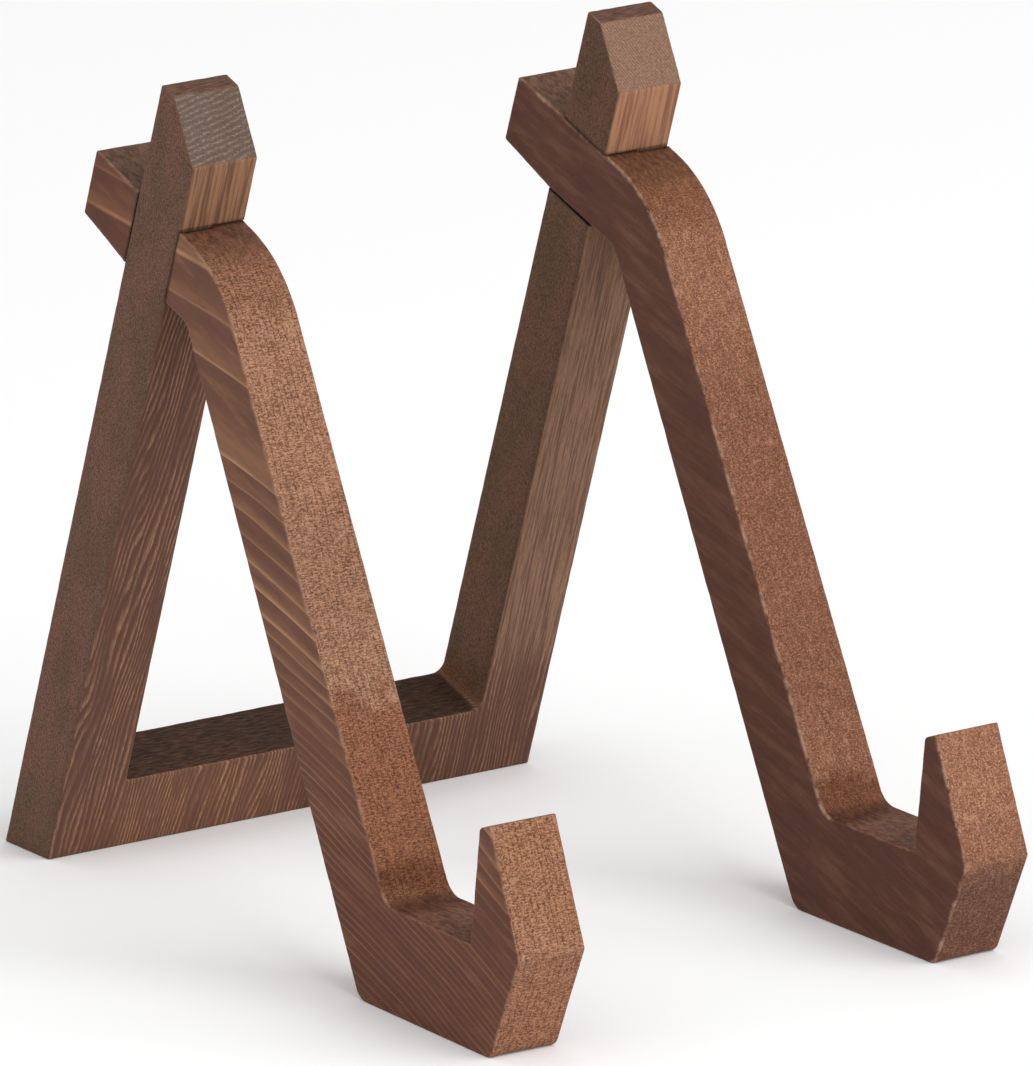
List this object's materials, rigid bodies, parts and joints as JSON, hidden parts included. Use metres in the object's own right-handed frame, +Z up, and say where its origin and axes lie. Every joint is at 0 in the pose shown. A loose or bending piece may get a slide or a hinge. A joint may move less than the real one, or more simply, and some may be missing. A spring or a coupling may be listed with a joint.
{
  "type": "plate display stand",
  "caption": "Knock-down wooden plate stand: a leaning U-shaped frame with hooked arms half-lapped onto its uprights, holding a plate, book or picture upright.",
  "frame": {"origin": "centre of the footprint's bounding box, on the table", "axes": "+Z up, +Y towards the back, X across; the hooks face -Y"},
  "size_m": [0.1178, 0.1774, 0.1636],
  "materials": {
    "frame_wood": "dark walnut stain on planed softwood, matt",
    "arm_wood": "dark walnut stain on sawn and sanded softwood, matt, redder on the cut edges"
  },
  "bodies": {
    "frame": {"rear_frame": "frame_wood"},
    "left_arm": {"arm_left": "arm_wood"},
    "right_arm": {"arm_right": "arm_wood"}
  },
  "joints": [
    {"name": "left_arm_slide", "type": "slide", "parent": "frame", "child": "left_arm", "axis": [1, 0, 0], "range_m": [0, 0.012]},
    {"name": "right_arm_slide", "type": "slide", "parent": "frame", "child": "right_arm", "axis": [-1, 0, 0], "range_m": [0, 0.012]}
  ]
}
